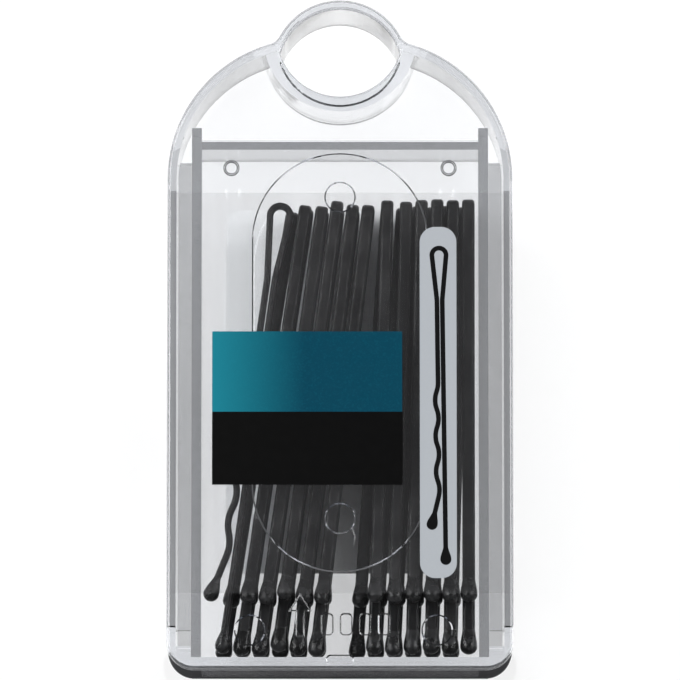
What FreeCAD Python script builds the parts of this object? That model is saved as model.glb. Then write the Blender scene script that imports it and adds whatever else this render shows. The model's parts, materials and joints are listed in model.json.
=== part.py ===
import FreeCAD, Part
import math
import os

# A clear slide case filled with ball-tipped bobby pins, lying on its back.
# X runs across the case, Y towards the hanging loop, Z up through the front plate.
# The origin is under the middle of the case, on the surface that it lies on.

# Case, outside; its width, length and depth follow from the pins inside it
head_length = 15.9
corner_radius = 3.0
shoulder_radius = 15.8
loop_rise = 4.3
loop_radius = 7.6
loop_blend = 1.8
edge_round = 0.45

# Cover walls
plate_thickness = 1.2
skirt_thickness = 1.0
skirt_lift = 0.15
loop_band = 1.1
hole_top_radius = 6.9
hole_sill = 3.3
hole_sill_radius = 7.0
hole_corner_round = 0.4
hole_edge_round = 0.3
rim_width = 1.6

# Tray walls
floor_thickness = 1.2
tray_wall = 1.1
end_wall = 1.4
top_wall = 0.9
wall_horn = 1.55
corner_return = 4.7
corner_step = 2.6

# Slide: tongues on the tray run over lips in the cover
slide_channel = 1.7
tongue_height = 1.2
tongue_base = 5.2
tongue_gap = 1.0
lip_height = 1.2
slide_clearance = 0.15
plate_clearance = 0.2

# Moulded marks
panel_width = 19.6
panel_length = 47.0
panel_relief = 0.2
mark_depth = 0.18
mark_slope = 0.16
arrow_length = 4.8
arrow_head_width = 2.6
arrow_head_length = 2.0
arrow_shaft_width = 1.0
grip_rib_count = 4
grip_rib_width = 1.4
grip_rib_pitch = 2.1
grip_rib_length = 2.5
grip_rib_round = 0.5
pull_width = 3.15
pull_length = 1.05
gate_mark_radius = 1.75
dimple_radius = 0.9
dimple_wall = 0.3
dimple_slope = 0.12

# Labels
film_thickness = 0.06
film_foot = 8.4
film_head = 21.8
film_hem = 2.0
paper_width = 25.6
paper_length = 41.0
paper_thickness = 0.1
paper_round = 1.5
paper_clearance = 0.1

# Bobby pin
pin_length = 51.0
wire_width = 1.4
wire_thickness = 0.75
leg_gap = 0.1
loop_width = 3.0
flank_angle = 5.6
flank_radius = 6.0
wave_length = 5.7
wave_height = 0.5
wave_count = 3
flare_angle = 14.0
flare_length = 4.5
short_leg_drop = 5.6
tip_thickness = 1.75
tip_swell = 0.25
tip_length = 3.1
tip_neck = 0.95
tip_cover = 1.0

# How the pins lie; the compartment is as wide as a share of tips side by side
tips_across_share = 16.2
pin_end_play = 5.8
pin_foot_gap = 0.35
layer_gap = 0.15
floor_gap = 0.1
front_gap = 0.47
turned_pin_lift = 0.5

# Places of the marks, as shares of the case width from the middle and of the case length from the foot
panel_centre_share = 0.457
arrow_place_shares = (-0.115, 0.080)
grip_place_shares = (0.045, 0.066)
pull_place_shares = (0.0, 0.014)
gate_mark_place_shares = ((0.0, 0.704), (0.0, 0.224), (-0.26, 0.058), (0.28, 0.058))
dimple_place_shares = ((-0.315, 0.748), (0.315, 0.748))
paper_centre_share = 0.43

# Loop and long tip of each pin, as shares of the compartment width from its middle
front_loop_shares = (-0.124, -0.064, -0.008, 0.048, 0.104, 0.172, 0.240, 0.296, 0.353, 0.409, 0.465)
front_tip_shares = (-0.360, -0.292, -0.224, -0.156, -0.088, 0.123, 0.191, 0.259, 0.328, 0.396, 0.464)
back_loop_shares = (-0.173, -0.117, -0.061, -0.005, 0.051, 0.106, 0.171, 0.227, 0.283, 0.338, 0.393, 0.448)
back_tip_shares = (-0.425, -0.357, -0.289, -0.220, -0.152, -0.084, 0.060, 0.128, 0.196, 0.264, 0.333, 0.401)
turned_loop_share = -0.210
turned_tip_share = -0.440

# How far each pin stands up from the foot, as shares of the gap that the pins leave there
front_rise_shares = (0.4, 0.0, 1.6, 0.3, 0.0, 0.6, 0.2, 0.7, 0.9, 0.6, 0.8)
back_rise_shares = (0.2, 0.9, 0.1, 0.5, 0.0, 0.8, 0.3, 0.0, 0.5, 0.2, 0.6, 0.1)
turned_rise_share = 0.9

leg_offset = (wire_thickness + leg_gap) / 2

X_AXIS = FreeCAD.Vector(1, 0, 0)
Y_AXIS = FreeCAD.Vector(0, 1, 0)
Z_AXIS = FreeCAD.Vector(0, 0, 1)


class WirePen:
    """Draws a path of straight runs and tangent arcs in the plane of a pin."""

    def __init__(self, along, across):
        self.point = FreeCAD.Vector(0, along, across)
        self.heading = 0.0
        self.edges = []

    def direction(self, turn=0.0):
        """Unit vector at a turn in degrees from the heading, from +Y towards +Z."""
        angle = math.radians(self.heading + turn)
        return FreeCAD.Vector(0, math.cos(angle), math.sin(angle))

    def run(self, length):
        """Straight run ahead."""
        end = self.point + self.direction() * length
        self.edges.append(Part.makeLine(self.point, end))
        self.point = end

    def bend(self, radius, turn):
        """Tangent arc through a turn in degrees."""
        centre = self.point + self.direction(math.copysign(90, turn)) * radius
        spoke = self.point - centre
        middle = centre + FreeCAD.Rotation(X_AXIS, turn / 2).multVec(spoke)
        end = centre + FreeCAD.Rotation(X_AXIS, turn).multVec(spoke)
        self.edges.append(Part.Arc(self.point, middle, end).toShape())
        self.point = end
        self.heading += turn


def draw_wire():
    """Pen after the whole wire: long leg, loop, then the waved leg with its flared end."""
    bend_radius = (loop_width - wire_thickness) / 2
    flank = math.radians(flank_angle)
    loop_y = pin_length - loop_width / 2
    spread = bend_radius * math.cos(flank) - leg_offset
    knee = flank_radius * math.tan(flank / 2)
    knee_y = loop_y - bend_radius * math.sin(flank) - spread / math.tan(flank)
    flank_run = spread / math.sin(flank) - knee
    half_wave = wave_length / 4
    wave_turn = 2 * math.degrees(math.atan(wave_height / 2 / half_wave))
    wave_radius = half_wave / math.sin(math.radians(wave_turn))
    flare = math.radians(flare_angle)
    wave_top_y = (tip_cover + short_leg_drop + flare_length * math.cos(flare)
                  + wave_radius * math.sin(flare) + wave_count * wave_length)
    pen = WirePen(tip_cover, -leg_offset)
    pen.run(knee_y - knee - tip_cover)
    pen.bend(flank_radius, -flank_angle)
    pen.run(flank_run)
    pen.bend(bend_radius, 180 + 2 * flank_angle)
    pen.run(flank_run)
    pen.bend(flank_radius, -flank_angle)
    pen.run(knee_y - knee - wave_top_y)
    pen.bend(wave_radius, -wave_turn)
    for index in range(wave_count):
        pen.bend(wave_radius, 2 * wave_turn)
        last = index == wave_count - 1
        pen.bend(wave_radius, -wave_turn - (flare_angle if last else wave_turn))
    pen.run(flare_length)
    return pen


# Sizes that follow from the pins and the walls round them
pin_pen = draw_wire()
tip_radius = tip_thickness / 2
tip_width = wire_width + 2 * tip_swell
short_tip_centre = pin_pen.point + pin_pen.direction() * (tip_cover - tip_radius)
reach_up = short_tip_centre.z + tip_radius
reach_down = leg_offset + tip_radius
back_level = floor_thickness + floor_gap + loop_width / 2
front_level = back_level + reach_up + layer_gap + reach_down
case_depth = front_level + reach_up + front_gap + plate_thickness
compartment_width = tips_across_share * tip_width
compartment_length = pin_length + pin_end_play
case_width = compartment_width + 2 * (tray_wall + slide_channel + skirt_thickness)
case_length = end_wall + compartment_length + top_wall + head_length
shoulder_length = case_length - loop_rise
film_length = case_length - film_foot - film_head

# Levels and edges that several pieces share
edge_tolerance = 1e-6
foot_y = -case_length / 2
half_width = case_width / 2
loop_centre_y = case_length / 2 - loop_radius
hole_top_y = case_length / 2 - loop_band
plate_under = case_depth - plate_thickness
wall_top = plate_under - plate_clearance
skirt_inside = half_width - skirt_thickness
tray_outside = compartment_width / 2 + tray_wall
compartment_foot_y = foot_y + end_wall
compartment_head_y = compartment_foot_y + compartment_length
tray_head_y = compartment_head_y + top_wall + wall_horn
skirt_foot_y = foot_y + corner_return + slide_clearance
tongue_head_y = compartment_head_y - tongue_gap


def block(x0, x1, y0, y1, z0, z1):
    """Box between two corners."""
    return Part.makeBox(x1 - x0, y1 - y0, z1 - z0, FreeCAD.Vector(x0, y0, z0))


def both_sides(shape):
    """A shape and its mirror image across the middle of the case."""
    return shape.fuse(shape.mirror(FreeCAD.Vector(), X_AXIS))


def lift(face, z0, z1):
    """Prism from a flat face drawn at level 0."""
    prism = face.extrude(Z_AXIS * (z1 - z0))
    prism.translate(Z_AXIS * z0)
    return prism


def disc(x, y, radius, z0, z1):
    """Upright round prism."""
    return Part.makeCylinder(radius, z1 - z0, FreeCAD.Vector(x, y, z0))


def rounded_face(x, y, width, length, foot_round, head_round):
    """Flat rectangle about a middle, with its two foot and two head corners rounded."""
    corners = ((-1, -1, foot_round), (1, -1, foot_round), (1, 1, head_round), (-1, 1, head_round))
    edges = []
    ends = []
    for side_x, side_y, radius in corners:
        corner = FreeCAD.Vector(x + side_x * width / 2, y + side_y * length / 2)
        upright = corner - Y_AXIS * (side_y * radius)
        level = corner - X_AXIS * (side_x * radius)
        centre = level - Y_AXIS * (side_y * radius)
        reach = radius / math.sqrt(2)
        middle = centre + FreeCAD.Vector(side_x * reach, side_y * reach)
        first, last = (upright, level) if side_x * side_y > 0 else (level, upright)
        edges.append(Part.Arc(first, middle, last).toShape())
        ends.append((first, last))
    for index, (_, last) in enumerate(ends):
        following = ends[(index + 1) % len(ends)][0]
        if last.distanceToPoint(following) > edge_tolerance:
            edges.append(Part.makeLine(last, following))
    return Part.Face(Part.Wire(Part.__sortEdges__(edges)))


def upright_edges(shape, x_limit, y_limit):
    """Upright edges of a prism beyond a distance from the middle line and above a level along Y."""
    found = []
    for edge in shape.Edges:
        a, b = edge.Vertexes[0].Point, edge.Vertexes[-1].Point
        upright = abs(a.x - b.x) + abs(a.y - b.y) < edge_tolerance < abs(a.z - b.z)
        if upright and abs(a.x) > x_limit and a.y > y_limit:
            found.append(edge)
    return found


def case_prism(inset, z0, z1):
    """Outline of the case with its hanging loop, drawn in by an inset."""
    width = case_width - 2 * inset
    length = shoulder_length - 2 * inset
    body_y = foot_y + shoulder_length / 2
    body = rounded_face(0, body_y, width, length, corner_radius - inset, shoulder_radius - inset)
    outline = lift(body, z0, z1).fuse(disc(0, loop_centre_y, loop_radius - inset, z0, z1)).removeSplitter()
    return outline.makeFillet(loop_blend + inset, upright_edges(outline, loop_radius / 2, loop_centre_y))


def hang_hole(z0, z1):
    """Eye-shaped hole: a round top over a flatter sill."""
    sill_y = loop_centre_y - hole_sill
    top = disc(0, hole_top_y - hole_top_radius, hole_top_radius, z0, z1)
    eye = top.common(disc(0, sill_y + hole_sill_radius, hole_sill_radius, z0, z1))
    return eye.makeFillet(hole_corner_round, upright_edges(eye, loop_radius / 2, sill_y))


def placed(shares):
    """Point on the case from shares of its width and length."""
    return shares[0] * case_width, foot_y + shares[1] * case_length


def arrow_face():
    """Arrow that shows which way the cover opens."""
    x, y = placed(arrow_place_shares)
    tip_y = y + arrow_length / 2
    neck_y = tip_y - arrow_head_length
    tail_y = y - arrow_length / 2
    half_head = arrow_head_width / 2
    half_shaft = arrow_shaft_width / 2
    outline = (
        (0, tip_y), (half_head, neck_y), (half_shaft, neck_y), (half_shaft, tail_y),
        (-half_shaft, tail_y), (-half_shaft, neck_y), (-half_head, neck_y), (0, tip_y))
    return Part.Face(Part.makePolygon([FreeCAD.Vector(x + across, along) for across, along in outline]))


def pocket(tool, level, slope):
    """Tool for a shallow pocket whose sides slope in towards its bottom level."""
    rim = [edge for edge in tool.Edges if lies_at(edge, level)]
    return tool.makeChamfer(slope, rim)


def lies_at(edge, level):
    """Whether an edge lies flat at a level."""
    box = edge.BoundBox
    return abs(box.ZMin - level) < edge_tolerance and box.ZLength < edge_tolerance


def cover_marks():
    """Shallow pockets in the cover: arrow, grip ribs and pull in front, panel and round marks behind."""
    front = case_depth - mark_depth
    faces = [arrow_face()]
    grip_x, grip_y = placed(grip_place_shares)
    for index in range(grip_rib_count):
        x = grip_x + (index - (grip_rib_count - 1) / 2) * grip_rib_pitch
        faces.append(rounded_face(x, grip_y, grip_rib_width, grip_rib_length, grip_rib_round, grip_rib_round))
    pull_x, pull_y = placed(pull_place_shares)
    faces.append(rounded_face(pull_x, pull_y, pull_width, pull_length, pull_length / 2, pull_length / 2))
    pockets = [pocket(lift(face, front, case_depth), front, mark_slope) for face in faces]
    panel_y = foot_y + panel_centre_share * case_length
    panel = rounded_face(0, panel_y, panel_width, panel_length, panel_width / 2, panel_width / 2)
    relief_top = plate_under + panel_relief
    gate_top = relief_top + mark_depth
    pockets.append(pocket(lift(panel, plate_under, relief_top), relief_top, mark_slope))
    for shares in gate_mark_place_shares:
        x, y = placed(shares)
        pockets.append(pocket(disc(x, y, gate_mark_radius, plate_under, gate_top), gate_top, mark_slope))
    for shares in dimple_place_shares:
        x, y = placed(shares)
        tube = ring(x, y, dimple_radius, dimple_radius - dimple_wall, plate_under, relief_top)
        pockets.append(pocket(tube, relief_top, dimple_slope))
    return pockets


def ring(x, y, outer, inner, z0, z1):
    """Upright round tube."""
    return disc(x, y, outer, z0, z1).cut(disc(x, y, inner, z0, z1))


def make_cover():
    """Clear cover: plate, skirts, shoulders, hanging loop with its hole rim, and the lips of the slide."""
    plate = case_prism(0, plate_under, case_depth)
    outer = case_prism(0, skirt_lift, case_depth)
    skirt = outer.cut(case_prism(skirt_thickness, 0, case_depth))
    skirt = skirt.cut(block(-case_width, case_width, foot_y, skirt_foot_y, 0, case_depth))
    sill_centre_y = loop_centre_y - hole_sill + hole_sill_radius
    rim = disc(0, sill_centre_y, hole_sill_radius + rim_width, skirt_lift, case_depth).common(outer)
    lip_top = tongue_base - slide_clearance
    lip = block(tray_outside + slide_clearance, skirt_inside, skirt_foot_y, tongue_head_y,
                lip_top - lip_height, lip_top)
    cover = plate.multiFuse([skirt, rim, both_sides(lip)]).removeSplitter()
    rims = [edge for edge in cover.Edges if on_front_rim(edge)]
    cover = cover.makeFillet(edge_round, rims)
    cover = cover.cut(hang_hole(0, case_depth))
    hole_edges = [edge for edge in cover.Edges if on_hole_edge(edge)]
    cover = cover.makeFillet(hole_edge_round, hole_edges)
    return cover.cut(Part.makeCompound(cover_marks())).removeSplitter()


def on_front_rim(edge):
    """Whether an edge lies in the front face."""
    return lies_at(edge, case_depth)


def on_hole_edge(edge):
    """Whether an edge of the hanging hole lies in its front or back face."""
    box = edge.BoundBox
    at_face = lies_at(edge, case_depth) or lies_at(edge, skirt_lift)
    inside = max(abs(box.XMin), abs(box.XMax)) < hole_top_radius + edge_tolerance
    above_sill = box.YMin > loop_centre_y - hole_sill - edge_tolerance
    below_top = box.YMax < hole_top_y + edge_tolerance
    return at_face and inside and above_sill and below_top


def paper_face(margin):
    """Outline of the back label, or of its recess when a margin is added."""
    y = foot_y + paper_centre_share * case_length
    corner = paper_round + margin
    return rounded_face(0, y, paper_width + 2 * margin, paper_length + 2 * margin, corner, corner)


def make_tray():
    """Clear tray: floor, compartment walls, end cap with its corner returns, and the tongues of the slide."""
    floor = block(-tray_outside, tray_outside, foot_y, tray_head_y, 0, floor_thickness)
    side = block(compartment_width / 2, tray_outside, foot_y, tray_head_y, 0, wall_top)
    head = block(-tray_outside, tray_outside, compartment_head_y, compartment_head_y + top_wall, 0, wall_top)
    cap_zone = block(-half_width, half_width, foot_y, compartment_foot_y, 0, wall_top).multiFuse([
        both_sides(block(skirt_inside, half_width, foot_y, foot_y + corner_return, 0, wall_top)),
        both_sides(block(tray_outside, half_width, foot_y, foot_y + corner_step, 0, wall_top))])
    cap = case_prism(0, 0, wall_top).common(cap_zone)
    tongue = block(tray_outside, skirt_inside - slide_clearance, foot_y + corner_step, tongue_head_y,
                   tongue_base, tongue_base + tongue_height)
    tongue = tongue.common(case_prism(skirt_thickness + slide_clearance, 0, case_depth))
    tray = floor.multiFuse([both_sides(side), head, cap, both_sides(tongue)]).removeSplitter()
    return tray.cut(lift(paper_face(paper_clearance), 0, paper_thickness))


def make_wrap_label():
    """Clear film over the front and down both sides of the cover."""
    y0 = foot_y + film_foot
    inside = film_section(half_width, case_depth, edge_round)
    outside = film_section(
        half_width + film_thickness, case_depth + film_thickness, edge_round + film_thickness)
    film = Part.Face(outside).cut(Part.Face(inside)).extrude(Y_AXIS * film_length)
    film.translate(Y_AXIS * y0)
    return film


def film_section(half, top, corner):
    """Closed section of the wrapped front, from one hem over the front to the other."""
    reach = corner * (1 - 1 / math.sqrt(2))
    hem = FreeCAD.Vector(half, 0, film_hem)
    low = FreeCAD.Vector(half, 0, top - corner)
    middle = FreeCAD.Vector(half - reach, 0, top - reach)
    high = FreeCAD.Vector(half - corner, 0, top)
    flip = FreeCAD.Placement(FreeCAD.Vector(), FreeCAD.Rotation(Z_AXIS, 180))
    hem_2, low_2, middle_2, high_2 = (flip.multVec(point) for point in (hem, low, middle, high))
    return Part.Wire([
        Part.makeLine(hem, low), Part.Arc(low, middle, high).toShape(), Part.makeLine(high, high_2),
        Part.Arc(high_2, middle_2, low_2).toShape(), Part.makeLine(low_2, hem_2), Part.makeLine(hem_2, hem)])


def make_back_label():
    """Paper label, flush in its recess in the back of the tray."""
    return lift(paper_face(0), 0, paper_thickness)


def wire_section(along, across):
    """Flattened round wire, cut square to the pin's length."""
    half_flat = (wire_width - wire_thickness) / 2
    half = wire_thickness / 2
    right_low = FreeCAD.Vector(half_flat, along, across - half)
    right_mid = FreeCAD.Vector(wire_width / 2, along, across)
    right_high = FreeCAD.Vector(half_flat, along, across + half)
    left_low = FreeCAD.Vector(-half_flat, along, across - half)
    left_mid = FreeCAD.Vector(-wire_width / 2, along, across)
    left_high = FreeCAD.Vector(-half_flat, along, across + half)
    return Part.Wire([
        Part.makeLine(left_low, right_low), Part.Arc(right_low, right_mid, right_high).toShape(),
        Part.makeLine(right_high, left_high), Part.Arc(left_high, left_mid, left_low).toShape()])


def make_tip():
    """Resin drop with its round end at the origin, pointing down Y, wider across the wire than through it."""
    radius = tip_radius
    neck = tip_neck / 2
    slope = math.atan2(radius - neck, tip_length - radius)
    touch = FreeCAD.Vector(radius * math.cos(slope), radius + radius * math.sin(slope))
    low = math.radians(45) - slope / 2
    middle = FreeCAD.Vector(radius * math.sin(low), radius - radius * math.cos(low))
    foot = FreeCAD.Vector()
    shoulder = FreeCAD.Vector(neck, tip_length)
    crown = FreeCAD.Vector(0, tip_length)
    outline = Part.Wire([
        Part.Arc(foot, middle, touch).toShape(), Part.makeLine(touch, shoulder),
        Part.makeLine(shoulder, crown), Part.makeLine(crown, foot)])
    drop = Part.Face(outline).revolve(FreeCAD.Vector(), Y_AXIS, 360)
    widen = FreeCAD.Matrix()
    widen.scale(tip_width / tip_thickness, 1, 1)
    return drop.transformGeometry(widen)


def make_pin():
    """Wire and pair of tips of one pin, with the long tip's end at the origin and the loop up Y."""
    wire = Part.Wire(pin_pen.edges).makePipeShell([wire_section(tip_cover, -leg_offset)], True, False)
    long_tip = make_tip()
    long_tip.translate(Z_AXIS * -leg_offset)
    short_tip = make_tip()
    short_end = pin_pen.point + pin_pen.direction() * tip_cover
    short_tip.Placement = FreeCAD.Placement(short_end, FreeCAD.Rotation(X_AXIS, pin_pen.heading - 180))
    tips = [tip.cut(wire) for tip in (long_tip, short_tip)]
    return wire, Part.makeCompound(tips)


def pin_placement(loop_share, tip_share, rise_share, level, twist):
    """Where a pin lies: leaning from its tip to its loop, at a level, turned about its own length."""
    tip_x = tip_share * compartment_width
    lean = math.degrees(math.asin((loop_share * compartment_width - tip_x) / pin_length))
    y = compartment_foot_y + pin_foot_gap * (1 + rise_share)
    turn = FreeCAD.Rotation(Z_AXIS, -lean).multiply(FreeCAD.Rotation(Y_AXIS, twist))
    return FreeCAD.Placement(FreeCAD.Vector(tip_x, y, level), turn)


def pin_placements():
    """Places of all pins: the one that lies on its side, then the front layer, then the back layer."""
    turned_level = front_level + turned_pin_lift
    places = [pin_placement(turned_loop_share, turned_tip_share, turned_rise_share, turned_level, -90)]
    for shares in zip(front_loop_shares, front_tip_shares, front_rise_shares):
        places.append(pin_placement(*shares, front_level, 0))
    for shares in zip(back_loop_shares, back_tip_shares, back_rise_shares):
        places.append(pin_placement(*shares, back_level, 0))
    return places


def main():
    """Build every piece and write one file for each."""
    os.makedirs("parts", exist_ok=True)
    pieces = {
        "tray": make_tray(),
        "cover": make_cover(),
        "wrap_label": make_wrap_label(),
        "back_label": make_back_label(),
    }
    wire, tips = make_pin()
    for number, place in enumerate(pin_placements(), start=1):
        for kind, shape in (("wire", wire), ("tips", tips)):
            copy = shape.copy()
            copy.Placement = place.multiply(shape.Placement)
            pieces[f"pin_{number:02d}_{kind}"] = copy
    for name, shape in pieces.items():
        shape.exportStep(f"parts/{name}.step")
        print(name, len(shape.Solids), "solid(s)", round(shape.Volume, 3), "mm3, valid", shape.isValid())


main()
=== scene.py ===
import json
import logging
import math
from dataclasses import dataclass, field
from enum import Enum
from typing import Any, Mapping, Optional, Sequence

import bmesh
import bpy
from mathutils import Matrix, Vector


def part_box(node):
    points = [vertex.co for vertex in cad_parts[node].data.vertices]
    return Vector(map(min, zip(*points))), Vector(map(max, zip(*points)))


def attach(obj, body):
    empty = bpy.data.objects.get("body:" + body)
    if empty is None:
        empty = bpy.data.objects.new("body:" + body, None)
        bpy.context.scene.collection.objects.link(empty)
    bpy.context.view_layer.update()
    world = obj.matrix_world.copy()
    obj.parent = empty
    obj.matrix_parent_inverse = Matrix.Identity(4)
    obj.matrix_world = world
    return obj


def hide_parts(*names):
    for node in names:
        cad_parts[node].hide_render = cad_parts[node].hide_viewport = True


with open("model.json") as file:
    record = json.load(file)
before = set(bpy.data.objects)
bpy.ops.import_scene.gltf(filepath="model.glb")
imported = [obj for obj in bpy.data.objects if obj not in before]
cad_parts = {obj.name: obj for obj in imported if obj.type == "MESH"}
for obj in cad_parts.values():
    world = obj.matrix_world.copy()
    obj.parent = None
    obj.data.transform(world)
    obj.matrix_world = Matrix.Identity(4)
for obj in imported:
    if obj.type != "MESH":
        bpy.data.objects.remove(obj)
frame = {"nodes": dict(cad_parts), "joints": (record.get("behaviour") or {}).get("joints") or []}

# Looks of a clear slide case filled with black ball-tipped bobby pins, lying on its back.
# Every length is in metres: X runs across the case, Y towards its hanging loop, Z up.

LOG = logging.getLogger("slide_case")
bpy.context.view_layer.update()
MM = 0.001

# Face attribute that gives how much painted shade each face of a clear moulding gets.
PAINTED_WALL_SHADE = "wall_shade"

# Farther than any part of the case: a limit that holds nothing back.
FAR = 1.0

UP, DOWN, FOOTWARD = (0.0, 0.0, 1.0), (0.0, 0.0, -1.0), (0.0, -1.0, 0.0)

# Sockets of the Mix node that carry colours share their names, so they are told apart by number.
MIX_COLOUR_A, MIX_COLOUR_B, MIX_COLOUR_OUT = 6, 7, 2

# Part of a noise's range that most of its surface lies in.
NOISE_SPAN = (0.3, 0.7)

Pair = tuple[float, float]
Triple = tuple[float, float, float]
Colour = Triple
Socket = bpy.types.NodeSocket


class Body(Enum):
    """Bodies of the case that a piece can ride on."""

    TRAY = "tray"
    COVER = "cover"


class Slot(Enum):
    """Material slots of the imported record."""

    TRAY_PLASTIC = "tray_plastic"
    COVER_PLASTIC = "cover_plastic"
    FILM = "film"
    LABEL_PAPER = "label_paper"
    WIRE = "enamelled_wire"
    RESIN = "tip_resin"


def add_node(
        tree: bpy.types.NodeTree, kind: str,
        inputs: Optional[Mapping[Any, Any]], settings: Mapping[str, Any]) -> bpy.types.Node:
    """Add a node to a tree and fill its sockets.

    Args:
        tree: Tree that the node goes into.
        kind: Full type of the node.
        inputs: Values by socket name or number; an output socket is linked.
        settings: Attributes of the node.

    Returns:
        The new node.
    """
    node = tree.nodes.new(kind)
    for key, value in settings.items():
        setattr(node, key, value)
    for key, value in (inputs or {}).items():
        if isinstance(value, Socket):
            tree.links.new(value, node.inputs[key])
        else:
            node.inputs[key].default_value = value
    return node


class NodeBoard:
    """Node tree of one finish or of the world, with short calls to add and join its nodes."""

    def __init__(self, owner: bpy.types.Material | bpy.types.World) -> None:
        """Start an empty tree.

        Args:
            owner: Material or world that the nodes are for.
        """
        owner.use_nodes = True
        self.tree = owner.node_tree
        self.tree.nodes.clear()

    def add(self, kind: str, inputs: Optional[Mapping[Any, Any]] = None, **settings: Any) -> bpy.types.Node:
        """Add a node and fill its sockets.

        Args:
            kind: Node type without its common prefix.
            inputs: Values by socket name or number; an output socket is linked.
            settings: Attributes of the node.

        Returns:
            The new node.
        """
        return add_node(self.tree, "ShaderNode" + kind, inputs, settings)

    def place(self, stretch: Triple = (1.0, 1.0, 1.0)) -> Socket:
        """Object coordinates, stretched along each axis.

        Args:
            stretch: Factor along X, Y and Z.

        Returns:
            Vector socket.
        """
        where = self.add("TexCoord").outputs["Object"]
        return self.add("Mapping", {"Vector": where, "Scale": stretch}).outputs["Vector"]

    def grain(self, scale: float, detail: float = 3.0, stretch: Triple = (1.0, 1.0, 1.0)) -> Socket:
        """Cloudy noise over the surface.

        Args:
            scale: Number of features in a metre.
            detail: Octaves of finer noise.
            stretch: Factor along X, Y and Z.

        Returns:
            Socket from 0 to 1.
        """
        noise = self.add("TexNoise", {"Vector": self.place(stretch), "Scale": scale, "Detail": detail})
        return noise.outputs["Fac"]

    def spread(self, value: Socket, span: Pair, to: Pair) -> Socket:
        """Map a value from one range to another, held at the ends.

        Args:
            value: Socket to map.
            span: Range that is read.
            to: Range that comes out.

        Returns:
            Mapped socket.
        """
        node = self.add("MapRange", {
            "Value": value, "From Min": span[0], "From Max": span[1], "To Min": to[0], "To Max": to[1]})
        return node.outputs["Result"]

    def blend(self, value: Socket, first: Any, second: Any) -> Socket:
        """Blend two colours.

        Args:
            value: Share of the second colour.
            first: Colour, or a colour socket.
            second: Colour, or a colour socket.

        Returns:
            Colour socket.
        """
        ends = [end if isinstance(end, Socket) else (*end, 1.0) for end in (first, second)]
        node = self.add("Mix", {0: value, MIX_COLOUR_A: ends[0], MIX_COLOUR_B: ends[1]}, data_type="RGBA")
        return node.outputs[MIX_COLOUR_OUT]

    def across(self) -> Socket:
        """Place across the case, in metres from its middle."""
        return self.add("SeparateXYZ", {"Vector": self.place()}).outputs["X"]

    def relief(self, height: Socket, depth: float, strength: float) -> Socket:
        """Surface normal of a relief.

        Args:
            height: Height socket from 0 to 1.
            depth: Depth of the relief in metres.
            strength: Share of its effect.

        Returns:
            Normal socket.
        """
        bump = self.add("Bump", {"Height": height, "Distance": depth, "Strength": strength})
        return bump.outputs["Normal"]

    def close(self, surface: bpy.types.Node, inside: Optional[bpy.types.Node] = None) -> None:
        """Join the shaders to the output.

        Args:
            surface: Surface shader.
            inside: Volume shader, where the material has one.
        """
        output = self.add("OutputMaterial", {"Surface": surface.outputs[0]})
        if inside:
            self.tree.links.new(inside.outputs[0], output.inputs["Volume"])


@dataclass(frozen=True)
class Finish:
    """A finish of the case or of its studio, with one material of its name."""

    name: str

    def material(self) -> bpy.types.Material:
        """Give the material of this finish, made at the first call.

        Returns:
            The material.
        """
        made = bpy.data.materials.get(self.name)
        if not made:
            made = bpy.data.materials.new(self.name)
            self.dress(NodeBoard(made))
        return made

    def dress(self, board: NodeBoard) -> None:
        """Lay out the nodes of the finish on an empty board."""
        raise NotImplementedError


@dataclass(frozen=True)
class ClearPlastic(Finish):
    """Clear injection-moulded plastic with flow ripples, fine scuffs and a painted shade on the faces marked
    for it.
    """

    tint: Colour
    thick_tint: Colour
    shade: Colour
    # Near-black painted shade, mixed in on the faces marked with the painted wall shade attribute.
    painted_shade_colour: Colour = (0.003, 0.0036, 0.005)
    depth_tint: Colour = (0.6, 0.62, 0.66)
    density: float = 70.0
    ior: float = 1.57
    scuffs: Pair = (0.0, 0.04)
    ripple: float = 0.08 * MM

    def dress(self, board: NodeBoard) -> None:
        """Lay out glass with flow ripples, a painted shade on the marked faces, and light passing as shadow
        rays.

        Args:
            board: Empty board of the material.
        """
        flow = board.grain(130.0, 2.0, (1.0, 0.45, 1.0))
        scuff = board.grain(2600.0, 4.0, (1.0, 0.12, 1.0))
        # walls: share of painted shade on each face, which mixes the near-black painted shade into the
        # plastic's colour.
        walls = board.add("Attribute", attribute_name=PAINTED_WALL_SHADE).outputs["Fac"]
        glass = board.add("BsdfPrincipled", {
            "Base Color": board.blend(walls, board.blend(flow, self.tint, self.thick_tint), self.painted_shade_colour),
            "Roughness": board.spread(scuff, (0.58, 0.82), self.scuffs),
            "IOR": self.ior,
            "Transmission Weight": 1.0,
            "Normal": board.relief(flow, self.ripple, 0.12),
        })
        clear = board.add("BsdfTransparent", {"Color": (*self.shade, 1.0)})
        shadow = board.add("LightPath").outputs["Is Shadow Ray"]
        mixed = board.add("MixShader", {0: shadow, 1: glass.outputs[0], 2: clear.outputs[0]})
        body = board.add("VolumeAbsorption", {"Color": (*self.depth_tint, 1.0), "Density": self.density})
        board.close(mixed, body)


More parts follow.
